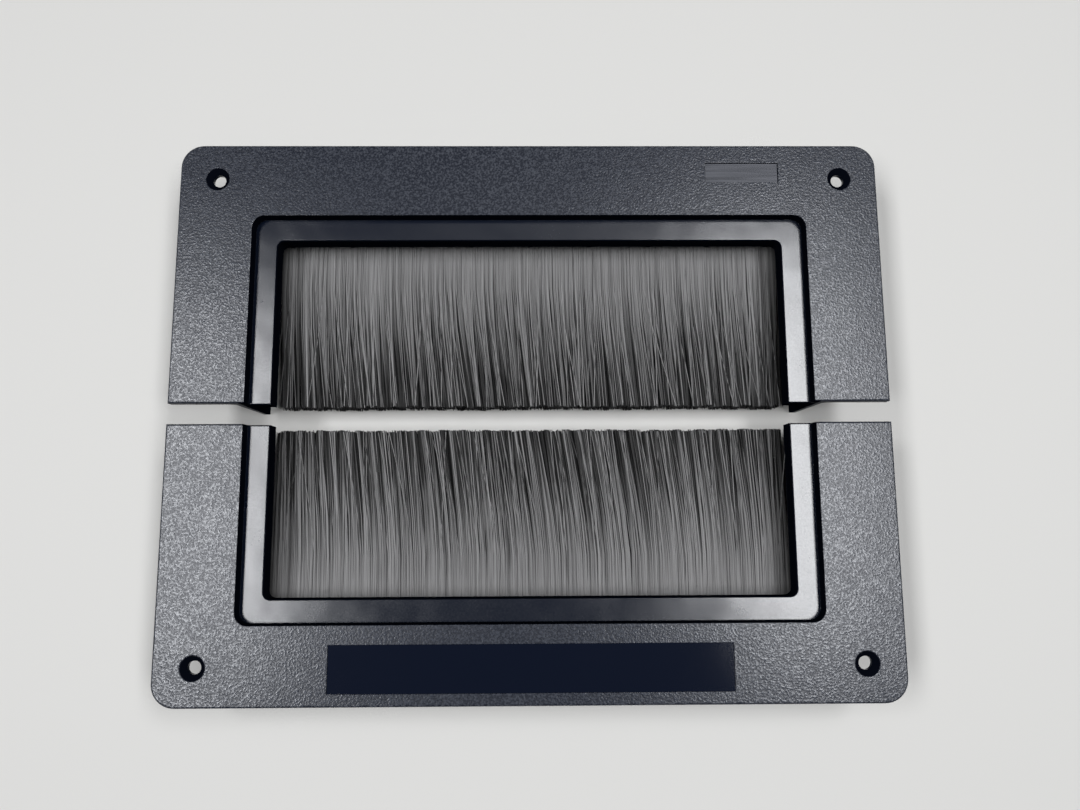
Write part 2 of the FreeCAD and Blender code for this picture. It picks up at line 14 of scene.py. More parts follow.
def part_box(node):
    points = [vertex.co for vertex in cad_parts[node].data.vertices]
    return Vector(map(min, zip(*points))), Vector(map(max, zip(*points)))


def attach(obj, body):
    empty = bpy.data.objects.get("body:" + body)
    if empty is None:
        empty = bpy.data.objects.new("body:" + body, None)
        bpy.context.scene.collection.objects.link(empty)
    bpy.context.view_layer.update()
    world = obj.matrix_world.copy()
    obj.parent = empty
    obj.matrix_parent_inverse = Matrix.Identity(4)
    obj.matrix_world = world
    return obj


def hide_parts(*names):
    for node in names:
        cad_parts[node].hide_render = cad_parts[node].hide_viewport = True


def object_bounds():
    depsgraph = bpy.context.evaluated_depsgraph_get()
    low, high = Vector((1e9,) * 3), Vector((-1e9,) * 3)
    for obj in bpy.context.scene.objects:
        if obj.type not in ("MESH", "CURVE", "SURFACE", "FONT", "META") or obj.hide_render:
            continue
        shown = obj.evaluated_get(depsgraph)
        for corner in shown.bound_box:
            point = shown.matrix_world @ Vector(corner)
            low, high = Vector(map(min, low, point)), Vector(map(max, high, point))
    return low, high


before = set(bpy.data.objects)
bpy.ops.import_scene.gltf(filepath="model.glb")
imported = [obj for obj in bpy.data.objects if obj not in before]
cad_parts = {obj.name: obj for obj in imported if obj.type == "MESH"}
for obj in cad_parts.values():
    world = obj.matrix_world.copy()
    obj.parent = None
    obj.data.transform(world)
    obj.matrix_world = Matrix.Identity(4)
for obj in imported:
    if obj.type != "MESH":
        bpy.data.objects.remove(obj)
CAD_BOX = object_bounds()

MM = 0.001
BODY = "root"
UV_NAME = "OFBake"
LOG = logging.getLogger("brush_grommet")

Colour = tuple[float, float, float]


class Side(Enum):
    """The two halves of the grommet, with the way each lies from the split."""

    REAR = 1
    FRONT = -1

    @property
    def row_lean(self) -> float:
        """How far the tips in the middle of the half's brush lean sideways."""
        return 2.4 * MM if self is Side.FRONT else 0.8 * MM

    def node(self, piece: str) -> str:
        """Name of a CAD node of this half."""
        return f"{self.name.lower()}_{piece}"


class Layer(Enum):
    """The two stacked brush strips of a half."""

    UPPER = "upper"
    LOWER = "lower"

    @property
    def outward(self) -> int:
        """Way from the pair of strips to the layer's open face: up or down."""
        return 1 if self is Layer.UPPER else -1

    @property
    def phase(self) -> float:
        """Start of the layer's first group of tufts, as a share of a group from the end."""
        return 0.14 if self is Layer.UPPER else 0.05

    @property
    def strands(self) -> int:
        """Number of strands in the layer."""
        return 4200 if self is Layer.UPPER else 2800


# Seed of each brush layer's own run of chance
SEEDS = {
    (Side.REAR, Layer.UPPER): 23,
    (Side.REAR, Layer.LOWER): 26,
    (Side.FRONT, Layer.UPPER): 30,
    (Side.FRONT, Layer.LOWER): 33,
}


class Signal:
    """A shader value that can be written in arithmetic."""

    def __init__(self, graph: "Graph", socket: bpy.types.NodeSocket) -> None:
        """Hold one output socket of a graph."""
        self.graph = graph
        self.socket = socket

    def __add__(self, other: "Signal | float") -> "Signal":
        """Sum."""
        return self.graph.math("ADD", self, other)

    def __sub__(self, other: "Signal | float") -> "Signal":
        """Difference."""
        return self.graph.math("SUBTRACT", self, other)

    def __rsub__(self, other: float) -> "Signal":
        """Difference from a plain number."""
        return self.graph.math("SUBTRACT", other, self)

    def __mul__(self, other: "Signal | float") -> "Signal":
        """Product."""
        return self.graph.math("MULTIPLY", self, other)

    def __abs__(self) -> "Signal":
        """Size without its sign."""
        return self.graph.math("ABSOLUTE", self)

    __radd__ = __add__
    __rmul__ = __mul__

    def rising(self, low: float, high: float) -> "Signal":
        """Smooth step from 0 at low to 1 at high."""
        sockets = {"Value": self, "From Min": low, "From Max": high}
        smooth = {"interpolation_type": "SMOOTHSTEP"}
        return self.graph.signal("ShaderNodeMapRange", "Result", smooth, sockets)

    def between(self, low: float, high: float, soft: float) -> "Signal":
        """1 from low to high and 0 outside; soft is half the width of each edge."""
        return self.rising(low - soft, low + soft) * (1.0 - self.rising(high - soft, high + soft))

    def toward(self, target: "Signal | float", share: "Signal") -> "Signal":
        """Go a share of the way, from 0 to 1, to another value."""
        return self + (target - self) * share

    def around(self, middle: float, swing: float) -> "Signal":
        """A value that swings about a middle one as this goes from 0 to 1."""
        return middle + (self - 0.5) * swing


class Graph:
    """The node tree of a material or of the surrounding."""

    def __init__(self, owner: bpy.types.Material | bpy.types.World) -> None:
        """Start with the owner's shader and nothing else.

        Args:
            owner: A new material or world.
        """
        owner.use_nodes = True
        self.owner = owner
        self.tree = owner.node_tree
        self.shader = next(n for n in self.tree.nodes if n.type in ("BSDF_PRINCIPLED", "BACKGROUND"))

    def add(self, kind: str, settings: Mapping[str, Any], sockets: Mapping[str | int, Any]) -> bpy.types.Node:
        """Add a node.

        Args:
            kind: Type of the node.
            settings: Its properties, which are set first.
            sockets: Values or links of its inputs, by name or number.

        Returns:
            The node.
        """
        node = self.tree.nodes.new(kind)
        for name, value in settings.items():
            setattr(node, name, value)
        for key, value in sockets.items():
            self.feed(node.inputs[key], value)
        return node

    def signal(
        self, kind: str, output: str | int, settings: Mapping[str, Any], sockets: Mapping[str | int, Any]
    ) -> Signal:
        """One output, by name or number, of a new node."""
        return Signal(self, self.add(kind, settings, sockets).outputs[output])

    def feed(self, socket: bpy.types.NodeSocket, value: Any) -> None:
        """Link a signal to an input, or set the input's own value.

        Args:
            socket: The input.
            value: A signal, a number, a vector or a colour.
        """
        if isinstance(value, Signal):
            self.tree.links.new(value.socket, socket)
        elif socket.type == "RGBA":
            socket.default_value = (*value, 1.0)
        else:
            socket.default_value = value

    def math(self, operation: str, *values: "Signal | float") -> Signal:
        """Result of a Math node on signals and numbers."""
        return self.signal("ShaderNodeMath", 0, {"operation": operation}, dict(enumerate(values)))

    def blend(self, share: "Signal | float", first: "Colour | Signal", second: "Colour | Signal") -> Signal:
        """Mix two colours by the share of the second."""
        return self.signal("ShaderNodeMix", 2, {"data_type": "RGBA"}, {0: share, 6: first, 7: second})

    def place(self) -> Signal:
        """Object coordinates."""
        return self.signal("ShaderNodeTexCoord", "Object", {}, {})

    def parts(self, vector: Signal) -> tuple[Signal, Signal, Signal]:
        """The three parts of a vector."""
        outputs = self.add("ShaderNodeSeparateXYZ", {}, {0: vector}).outputs
        return Signal(self, outputs[0]), Signal(self, outputs[1]), Signal(self, outputs[2])

    def background_rays(self) -> Signal:
        """1 for rays that show the background: from the camera, mirrored or through glass.

        Returns:
            The mask.
        """
        rays = self.add("ShaderNodeLightPath", {}, {}).outputs
        kinds = ("Is Camera Ray", "Is Glossy Ray", "Is Transmission Ray")
        camera, glossy, glass = (Signal(self, rays[kind]) for kind in kinds)
        return self.math("MAXIMUM", self.math("MAXIMUM", camera, glossy), glass)

    def noise(self, vector: Signal, size: float, detail: float = 2.0, rough: float = 0.5) -> Signal:
        """Even noise between about 0 and 1, with bumps of a size in metres and finer layers on them."""
        sockets = {"Vector": vector, "Scale": 1.0 / size, "Detail": detail, "Roughness": rough}
        return self.signal("ShaderNodeTexNoise", "Fac", {}, sockets)

    def stretched(self, vector: Signal, across: float) -> Signal:
        """The same place with x times a factor, for streaks that run from side to side."""
        factors = (across, 1.0, 1.0)
        return self.signal("ShaderNodeVectorMath", 0, {"operation": "MULTIPLY"}, {0: vector, 1: factors})

    def bump(self, height: Signal) -> Signal:
        """Normal of a fine relief, from its real height in metres."""
        sockets = {"Height": height, "Distance": 1.0, "Strength": 1.0}
        return self.signal("ShaderNodeBump", "Normal", {}, sockets)

    def share_with(self, share: Signal, sockets: Mapping[str, Any]) -> None:
        """Leave part of the surface to a second shader.

        Args:
            share: Where the second shader shows, from 0 to 1.
            sockets: Values of its inputs.
        """
        second = self.add("ShaderNodeBsdfPrincipled", {}, sockets)
        shaders = [Signal(self, shader.outputs[0]) for shader in (self.shader, second)]
        mixed = self.signal("ShaderNodeMixShader", 0, {}, dict(enumerate((share, *shaders))))
        output = next(n for n in self.tree.nodes if n.type == "OUTPUT_MATERIAL")
        self.feed(output.inputs["Surface"], mixed)

    def finish(self, sockets: Mapping[str, Any]) -> bpy.types.Material | bpy.types.World:
        """Set the shader's inputs.

        Args:
            sockets: Values or signals by input.

        Returns:
            The finished owner.
        """
        for name, value in sockets.items():
            self.feed(self.shader.inputs[name], value)
        return self.owner


@dataclass(frozen=True)
class FrameFields:
    """Masks of the mouldings' surfaces, from 0 to 1."""

    grained: Signal
    band: Signal
    label: Signal
    insert: Signal
    bore: Signal
    # Painted shade on the recess walls, countersinks and the insert's rim walls
    painted_shade: Signal


@dataclass(frozen=True)
class FrameLayout:
    """Where the fields of the mouldings lie, in metres, measured from the middle of the set."""

    top: float
    band_top: float = 30.4 * MM
    label_half: float = 75.5 * MM
    label_far: float = 104.3 * MM
    label_near: float = 86.7 * MM
    insert_left: float = 70.85 * MM
    insert_right: float = 100.1 * MM
    insert_near: float = 93.3 * MM
    insert_far: float = 101.25 * MM
    insert_rim: float = 1.0 * MM
    bay_half: float = 113.0 * MM
    bay_far: float = 82.0 * MM
    bay_corner: float = 191.2 * MM
    sink_x: float = 125.0 * MM
    sink_y: float = 94.7 * MM
    sink_half: float = 6.0 * MM
    sink_foot: float = 32.65 * MM
    flange_foot: float = 31.0 * MM
    grain_foot: float = 0.22 * MM
    grain_full: float = 0.11 * MM
    sunk_most: float = 1.0 * MM
    sunk_soft: float = 0.1 * MM
    soft: float = 0.06 * MM

    def fields(self, x: Signal, y: Signal, z: Signal) -> FrameFields:
        """Masks of all fields.

        Args:
            x: Place across.
            y: Place from front to rear.
            z: Height.

        Returns:
            The masks.
        """
        soft, rim = self.soft, self.insert_rim
        grained = z.rising(self.top - self.grain_foot, self.top - self.grain_full)
        band = z.between(self.band_top - soft, self.band_top + soft, soft / 2)
        near_top = z.rising(self.top - self.sunk_most, self.top - self.sunk_most + self.sunk_soft)
        sunk = near_top * (1.0 - grained)
        label = sunk * self.inside(x, -self.label_half, self.label_half, y, -self.label_far, -self.label_near)
        insert = sunk * self.inside(
            x, self.insert_left, self.insert_right, y, self.insert_near, self.insert_far)
        round_insert = sunk * self.inside(
            x, self.insert_left - rim, self.insert_right + rim,
            y, self.insert_near - rim, self.insert_far + rim)
        past_corner = (abs(x) + abs(y)).rising(self.bay_corner - soft, self.bay_corner + soft)
        bay = (1.0 - grained) * (1.0 - past_corner) * self.inside(
            x, -self.bay_half, self.bay_half, y, -self.bay_far, self.bay_far)
        sink = (1.0 - grained) * self.inside(
            abs(x), self.sink_x - self.sink_half, self.sink_x + self.sink_half,
            abs(y), self.sink_y - self.sink_half, self.sink_y + self.sink_half)
        above_bore = z.rising(self.sink_foot, self.sink_foot + soft)
        bore = sink * (1.0 - above_bore) * z.rising(self.flange_foot + soft, self.flange_foot + 2 * soft)
        # Painted shade: walls inside the collar below the band, countersinks above their bores and the
        # insert's rim walls
        painted_shade = bay * (1.0 - band) + sink * above_bore + round_insert * (1.0 - insert)
        return FrameFields(grained, band, label, insert, bore, painted_shade)

    def inside(self, x: Signal, left: float, right: float, y: Signal, low: float, high: float) -> Signal:
        """Mask of the rectangle between four edges."""
        return x.between(left, right, self.soft) * y.between(low, high, self.soft)


@dataclass(frozen=True)
class MouldedFrameFinish:
    """Black moulding: spark-eroded flange grain, satin band, glossy label strip, brushed insert with painted
    sheen.

    The satin band is slightly wavy, as a wide thin wall comes out of the mould. The walls inside the
    collar, the countersinks and the rim walls of the insert are painted shade: a near-black matt shader with
    no reflection, and the outer walls have a trace of the flange's grain.
    """

    layout: FrameLayout
    black: Colour = (0.0025, 0.0055, 0.0150)
    # Painted glint: the grain's peaks are coloured lighter to stand in for the bright speckles the light
    # makes on them
    painted_peak_glint: Colour = (0.0560, 0.0625, 0.0800)
    navy: Colour = (0.0035, 0.0062, 0.0165)
    # Near black of the painted shade in the recesses
    painted_shade: Colour = (0.0025, 0.0035, 0.0070)
    # Painted sheen: the insert's grey, laid along its brush marks, stands in for the light it reflects
    insert_sheen_grey: Colour = (0.098, 0.103, 0.124)
    reflected: Colour = (0.955, 0.97, 1.0)
    refraction: float = 1.52
    grain_size: float = 0.74 * MM
    grain_depth: float = 0.10 * MM
    clump_size: float = 2.2 * MM
    clump_share: float = 0.15
    peak_range: tuple[float, float] = (0.40, 0.66)
    wall_grain: float = 0.30
    wave_size: float = 16.0 * MM
    wave_depth: float = 0.30 * MM
    cloud_size: float = 17.0 * MM
    streak_size: float = 0.8 * MM
    streak_stretch: float = 0.03
    streak_range: tuple[float, float] = (0.1, 0.9)
    peak_roughness: float = 0.20
    pit_roughness: float = 0.34
    flange_cloud: float = 0.08
    band_roughness: float = 0.23
    band_cloud: float = 0.14
    band_grain: float = 0.16
    label_roughness: float = 0.08
    label_cloud: float = 0.04
    insert_roughness: float = 0.43
    insert_streak: float = 0.36
    wall_roughness: float = 0.58
    wall_cloud: float = 0.12
    bore_roughness: float = 0.15
    coat: float = 0.55
    coat_cloud: float = 0.5
    coat_roughness: float = 0.20

    def material(self) -> bpy.types.Material:
        """Build the material.

        Returns:
            The material.
        """
        graph = Graph(bpy.data.materials.new("moulded_frame"))
        vector = graph.place()
        on = self.layout.fields(*graph.parts(vector))
        cloud = graph.noise(vector, self.cloud_size, detail=3.0, rough=0.55)
        fine = graph.noise(vector, self.grain_size, detail=1.0)
        grain = fine * (1.0 - self.clump_share) + graph.noise(vector, self.clump_size) * self.clump_share
        peaks = grain.rising(*self.peak_range)
        wave = graph.noise(vector, self.wave_size, detail=1.0)
        streak = graph.noise(graph.stretched(vector, self.streak_stretch), self.streak_size)
        plain = (1.0 - on.grained) * (1.0 - on.band) * (1.0 - on.label) * (1.0 - on.insert)
        etched = on.grained + plain * self.wall_grain
        relief = grain * etched * self.grain_depth + wave * on.band * self.wave_depth
        # Painted glint: lighter colour on the grain's peaks, on the flange and as a trace on the walls
        colour = graph.blend(peaks * etched, self.black, self.painted_peak_glint)
        colour = graph.blend(on.label, colour, self.navy)
        # Painted sheen on the insert, lighter along its brush marks
        colour = graph.blend(streak.rising(*self.streak_range) * on.insert, colour, self.insert_sheen_grey)
        # Painted shade: the recess walls get a near-black shader with no reflection at all
        graph.share_with(on.painted_shade, {"Base Color": self.painted_shade, "Roughness": 1.0, "Specular IOR Level": 0.0})
        return graph.finish({
            "Base Color": colour,
            "Roughness": self.roughness(on, cloud, grain, peaks, streak),
            "IOR": self.refraction,
            "Specular Tint": self.reflected,
            "Coat Weight": cloud.around(self.coat, self.coat_cloud) * on.band,
            "Coat Roughness": self.coat_roughness,
            "Normal": graph.bump(relief),
        })

    def roughness(
        self, on: FrameFields, cloud: Signal, grain: Signal, peaks: Signal, streak: Signal
    ) -> Signal:
        """Roughness of all fields.

        Args:
            on: Masks of the fields.
            cloud: Wide soft noise.
            grain: Height of the flange's grain.
            peaks: Where the grain stands up.
            streak: Brush marks of the insert.

        Returns:
            The roughness.
        """
        flange = self.pit_roughness + peaks * (self.peak_roughness - self.pit_roughness)
        band = cloud.around(self.band_roughness, self.band_cloud) + grain.around(0.0, self.band_grain)
        rough = cloud.around(self.wall_roughness, self.wall_cloud)
        rough = rough.toward(self.bore_roughness, on.bore)
        rough = rough.toward(band, on.band)
        rough = rough.toward(cloud.around(self.label_roughness, self.label_cloud), on.label)
        rough = rough.toward(streak.around(self.insert_roughness, self.insert_streak), on.insert)
        return rough.toward(flange + cloud.around(0.0, self.flange_cloud), on.grained)


@dataclass(frozen=True)
class NylonFinish:
    """Dull black filaments with a painted sheen: light along their sides, dark at their cut ends."""

    dark: Colour = (0.003, 0.003, 0.0035)
    # Painted sheen: the light grey the strands' sides are coloured for the light they reflect
    light: Colour = (0.303, 0.303, 0.310)
    cut_end: Colour = (0.030, 0.030, 0.032)
    end_range: tuple[float, float] = (0.9985, 0.9999)
    roughness: float = 0.50
    tone_swing: float = 0.12
    refraction: float = 1.53
    sheen: float = 0.14

    def material(self) -> bpy.types.Material:
        """Build the material, which reads the strand's own map: its tone across and its length along.

        Returns:
            The material.
        """
        graph = Graph(bpy.data.materials.new("bristles"))
        tone, along, _ = graph.parts(graph.signal("ShaderNodeUVMap", "UV", {"uv_map": UV_NAME}, {}))
        # From dark to the painted sheen, by the strand's tone, which carries its painted shade
        colour = graph.blend(tone, self.dark, self.light)
        colour = graph.blend(along.rising(*self.end_range), colour, self.cut_end)
        return graph.finish({
            "Base Color": colour,
            "Roughness": tone.around(self.roughness, self.tone_swing),
            "IOR": self.refraction,
            "Specular IOR Level": self.sheen,
        })


@dataclass(frozen=True)
class GalvanisedFinish:
    """Zinc-coated steel with soft spangles."""

    name: str
    pale: Colour = (0.60, 0.61, 0.62)
    dull: Colour = (0.42, 0.43, 0.45)
    spangle: float = 5.0 * MM
    haze_size: float = 1.2 * MM
    haze_share: float = 0.4
    haze_depth: float = 0.01 * MM
    roughness: float = 0.38
    spangle_swing: float = 0.16

    def material(self) -> bpy.types.Material:
        """Build the material.

        Returns:
            The material.
        """
        graph = Graph(bpy.data.materials.new(self.name))
        vector = graph.place()
        cells = {"Vector": vector, "Scale": 1.0 / self.spangle}
        shades = graph.signal("ShaderNodeTexVoronoi", "Color", {}, cells)
        patch = graph.signal("ShaderNodeSeparateColor", 0, {}, {0: shades})
        haze = graph.noise(vector, self.haze_size, detail=3.0)
        shade = patch * (1.0 - self.haze_share) + haze * self.haze_share
        return graph.finish({
            "Base Color": graph.blend(shade, self.dull, self.pale),
            "Metallic": 1.0,
            "Roughness": patch.around(self.roughness, self.spangle_swing),
            "Normal": graph.bump(haze * self.haze_depth),
        })


@dataclass(frozen=True)
class RetainerFinish:
    """Plain black moulding with faint flow marks."""

    black: Colour = (0.012, 0.0125, 0.0145)
    grey: Colour = (0.020, 0.0205, 0.0225)
    flow_size: float = 9.0 * MM
    grain_size: float = 0.35 * MM
    grain_depth: float = 0.02 * MM
    roughness: float = 0.42
    flow_swing: float = 0.2

    def material(self) -> bpy.types.Material:
        """Build the material.

        Returns:
            The material.
        """
        graph = Graph(bpy.data.materials.new("retainer"))
        vector = graph.place()
        flow = graph.noise(vector, self.flow_size, detail=4.0, rough=0.6)
        grain = graph.noise(vector, self.grain_size)
        return graph.finish({
            "Base Color": graph.blend(flow, self.black, self.grey),
            "Roughness": flow.around(self.roughness, self.flow_swing),
            "Normal": graph.bump(grain * self.grain_depth),
        })


@dataclass(frozen=True)
class FloorFinish:
    """Plain pale floor that runs into the pale surrounding far from the object."""

    colour: Colour = (0.72, 0.72, 0.71)
    roughness: float = 0.75
    far_glow: Colour = (0.50, 0.50, 0.50)
    fade: tuple[float, float] = (0.3, 1.9)

    def material(self) -> bpy.types.Material:
        """Build the material.

        Returns:
            The material.
        """
        graph = Graph(bpy.data.materials.new("floor"))
        x, y, _ = graph.parts(graph.place())
        far = graph.math("SQRT", x * x + y * y).rising(*self.fade)
        return graph.finish({
            "Base Color": self.colour,
            "Roughness": self.roughness,
            "Emission Color": graph.blend(far * graph.background_rays(), (0.0, 0.0, 0.0), self.far_glow),
            "Emission Strength": 1.0,
        })


def new_object(name: str, mesh: bpy.types.Mesh) -> bpy.types.Object:
    """Put a mesh into the scene.

    Args:
        name: Name of the object.
        mesh: Its mesh, already in place.

    Returns:
        The object.
    """
    piece = bpy.data.objects.new(name, mesh)
    bpy.context.scene.collection.objects.link(piece)
    return piece


def meshed(name: str, shape: bmesh.types.BMesh) -> bpy.types.Mesh:
    """Mesh of a finished shape, which is freed.

    Args:
        name: Name of the mesh.
        shape: The shape.

    Returns:
        The mesh.
    """
    mesh = bpy.data.meshes.new(name)
    shape.to_mesh(mesh)
    shape.free()
    return mesh


def baked(name: str, source: bpy.types.Object) -> bpy.types.Mesh:
    """Mesh of an object with its modifiers applied. The object is removed.

    Args:
        name: Name of the new mesh.
        source: The object.

    Returns:
        The mesh.
    """
    graph = bpy.context.evaluated_depsgraph_get()
    mesh = bpy.data.meshes.new_from_object(source.evaluated_get(graph))
    mesh.name = name
    bpy.data.objects.remove(source)
    return mesh


@dataclass
class MouldedHalf:
    """One half's moulding, with the slight rounds that a mould leaves along its visible edges."""

    side: Side
    finish: bpy.types.Material
    top: float
    visible_depth: float = 6.0 * MM
    edge_round: float = 0.16 * MM
    round_steps: int = 2
    weld: float = 0.002 * MM
    flat_angle: float = math.radians(0.6)
    edge_angle: float = math.radians(35.0)
    smooth_angle: float = math.radians(13.0)

    def build(self) -> bpy.types.Object:
        """Make the softened copy and let it stand for the CAD moulding.

        Returns:
            The finished piece.
        """
        node = self.side.node("frame")
        name = f"{node}_moulding"
        shape = bmesh.new()
        shape.from_mesh(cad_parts[node].data)
        bmesh.ops.remove_doubles(shape, verts=shape.verts[:], dist=self.weld)
        bmesh.ops.dissolve_limit(
            shape, angle_limit=self.flat_angle, verts=shape.verts[:], edges=shape.edges[:])
        bmesh.ops.bevel(
            shape, geom=[edge for edge in shape.edges if self.is_visible_edge(edge)], offset=self.edge_round,
            offset_type="OFFSET", segments=self.round_steps, profile=0.5, affect="EDGES", material=-1,
            clamp_overlap=True)
        mesh = meshed(name, shape)
        mesh.shade_smooth()
        mesh.set_sharp_from_angle(angle=self.smooth_angle)
        source = new_object(f"{name}_source", mesh)
        weights = source.modifiers.new("weights", "WEIGHTED_NORMAL")
        weights.keep_sharp = True
        mesh = baked(name, source)
        mesh.materials.clear()
        mesh.materials.append(self.finish)
        piece = new_object(name, mesh)
        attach(piece, BODY)
        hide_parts(node)
        return piece

    def is_visible_edge(self, edge: bmesh.types.BMEdge) -> bool:
        """True for an outer edge of the upper side.

        Args:
            edge: An edge of the merged mesh.

        Returns:
            Whether it is rounded.
        """
        if len(edge.link_faces) != 2 or not edge.is_convex:
            return False
        high = all(vert.co.z > self.top - self.visible_depth for vert in edge.verts)
        return high and edge.calc_face_angle() > self.edge_angle


@dataclass
class RetainerScrews:
    """The two thread-forming screws of a half's retainer: domed head, cross recess and coarse thread."""

    side: Side
    finish: bpy.types.Material
    head_height: float = 1.4 * MM
    dome: tuple[tuple[float, float], ...] = ((0.62, 0.0), (0.86, 0.10), (0.97, 0.32), (1.0, 0.60), (1.0, 1.0))
    shank: float = 1.20 * MM
    core: float = 0.86 * MM
    tip: float = 0.50 * MM
    tip_length: float = 1.2 * MM
    pitch: float = 1.15 * MM
    turns: int = 7
    thread_start: float = 0.575 * MM
    ridge_root: float = 0.774 * MM
    ridge_rises: tuple[float, ...] = (0.0, 0.26, 0.34, 0.60)
    round_steps: int = 32
    weld: float = 0.001 * MM
    blade_width: float = 0.62 * MM
    blade_reach: float = 2.9 * MM
    blade_taper: float = 0.45
    recess_depth: float = 0.95 * MM
    smooth_angle: float = math.radians(28.0)

    def build(self) -> bpy.types.Object:
        """Make both screws and let them stand for the CAD group.

        Returns:
            The finished piece.
        """
        node = self.side.node("retainer_screws")
        name = f"{node}_threaded"
        low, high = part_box(node)
        head = (high.y - low.y) / 2
        one = self.one_screw(f"{name}_source", head, high.z - low.z)
        shape = bmesh.new()
        for x in (low.x + head, high.x - head):
            before = len(shape.verts)
            shape.from_mesh(one)
            shape.verts.ensure_lookup_table()
            bmesh.ops.translate(shape, vec=(x, (low.y + high.y) / 2, low.z), verts=shape.verts[before:])
        mesh = meshed(name, shape)
        mesh.shade_smooth()
        mesh.set_sharp_from_angle(angle=self.smooth_angle)
        mesh.materials.append(self.finish)
        piece = new_object(name, mesh)
        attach(piece, BODY)
        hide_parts(node)
        return piece

    def one_screw(self, name: str, head: float, length: float) -> bpy.types.Mesh:
        """One screw that stands on its head, with its axis in z.

        Args:
            name: Name of the mesh.
            head: Half of the head's width.
            length: Length over all.

        Returns:
            The mesh.
        """
        turned = self.turned_blank(name, head, length)
        tools = [("UNION", self.thread(f"{name}_thread"))]
        tools += [("DIFFERENCE", self.blade(f"{name}_blade", turn)) for turn in (0.0, math.pi / 2)]
        for operation, tool in tools:
            joined = turned.modifiers.new(tool.name, "BOOLEAN")
            joined.operation = operation
            joined.solver = "EXACT"
            joined.object = tool
        mesh = baked(name, turned)
        for _, tool in tools:
            bpy.data.objects.remove(tool)
        return mesh

    def turned_blank(self, name: str, head: float, length: float) -> bpy.types.Object:
        """The screw before its thread is rolled and its recess is struck.

        Args:
            name: Name of the object.
            head: Half of the head's width.
            length: Length over all.

        Returns:
            The object.
        """
        dome = [(across * head, up * self.head_height) for across, up in self.dome]
        shank = [(self.core, self.head_height), (self.core, length - self.tip_length), (self.tip, length)]
        profile = [(0.0, 0.0), *dome, *shank, (0.0, length)]
        shape = bmesh.new()
        points = [shape.verts.new((across, 0.0, up)) for across, up in profile]
        lines = [shape.edges.new(pair) for pair in zip(points, points[1:])]
        bmesh.ops.spin(
            shape, geom=points + lines, cent=(0.0, 0.0, 0.0), axis=(0.0, 0.0, 1.0), angle=2 * math.pi,
            steps=self.round_steps, use_merge=True)
        return self.closed(name, shape)

    def thread(self, name: str) -> bpy.types.Object:
        """The ridge of the thread.

        Args:
            name: Name of the object.

        Returns:
            The object.
        """
        foot = self.head_height + self.thread_start
        radii = (self.ridge_root, self.shank, self.shank, self.ridge_root)
        shape = bmesh.new()
        ridge = shape.faces.new([
            shape.verts.new((radius, 0.0, foot + rise * self.pitch))
            for radius, rise in zip(radii, self.ridge_rises)])
        steps = self.turns * self.round_steps
        bmesh.ops.spin(
            shape, geom=[ridge, *ridge.edges, *ridge.verts], cent=(0.0, 0.0, 0.0), axis=(0.0, 0.0, 1.0),
            dvec=(0.0, 0.0, self.pitch / self.round_steps), angle=2 * math.pi * self.turns, steps=steps)
        return self.closed(name, shape)

    def blade(self, name: str, turn: float) -> bpy.types.Object:
        """One arm of the punch that strikes the cross recess.

        Args:
            name: Name of the object.
            turn: How far the arm is turned about the axis.

        Returns:
            The object.
        """
        shape = bmesh.new()
        bmesh.ops.create_cube(shape, size=1.0)
        bmesh.ops.scale(
            shape, vec=(self.blade_reach, self.blade_width, 2 * self.recess_depth), verts=shape.verts[:])
        inner = [vert for vert in shape.verts if vert.co.z > 0]
        bmesh.ops.scale(shape, vec=(self.blade_taper, self.blade_taper, 1.0), verts=inner)
        bmesh.ops.rotate(shape, matrix=Matrix.Rotation(turn, 3, "Z"), verts=shape.verts[:])
        return self.closed(name, shape)

    def closed(self, name: str, shape: bmesh.types.BMesh) -> bpy.types.Object:
        """Close a shape's seams and poles, turn its faces outwards and put it into the scene.

        Args:
            name: Name of the object.
            shape: The shape, which is freed.

        Returns:
            The object.
        """
        bmesh.ops.remove_doubles(shape, verts=shape.verts[:], dist=self.weld)
        bmesh.ops.recalc_face_normals(shape, faces=shape.faces[:])
        return new_object(name, meshed(name, shape))


def gathered(
    draw: np.random.Generator, start: np.ndarray, widths: tuple[float, float],
    gather: tuple[float, float], lean: float,
) -> np.ndarray:
    """Pull of clumps that divide a row of strands between them.

    Args:
        draw: Source of chance.
        start: Places of the roots along the row, in rising order.
        widths: Least and most width of a clump.
        gather: Least and most share of the way that a clump draws its strands to its middle.
        lean: Usual sideways lean of a whole clump.

    Returns:
        Sideways shift of each strand's tip.
    """
    count = int((start[-1] - start[0]) / widths[0]) + 2
    width = draw.uniform(*widths, count)
    edge = start[0] + np.cumsum(width)
    clump = np.searchsorted(edge, start)
    middle = (edge - width / 2)[clump]
    return draw.uniform(*gather, count)[clump] * (middle - start) + draw.normal(0.0, lean, count)[clump]


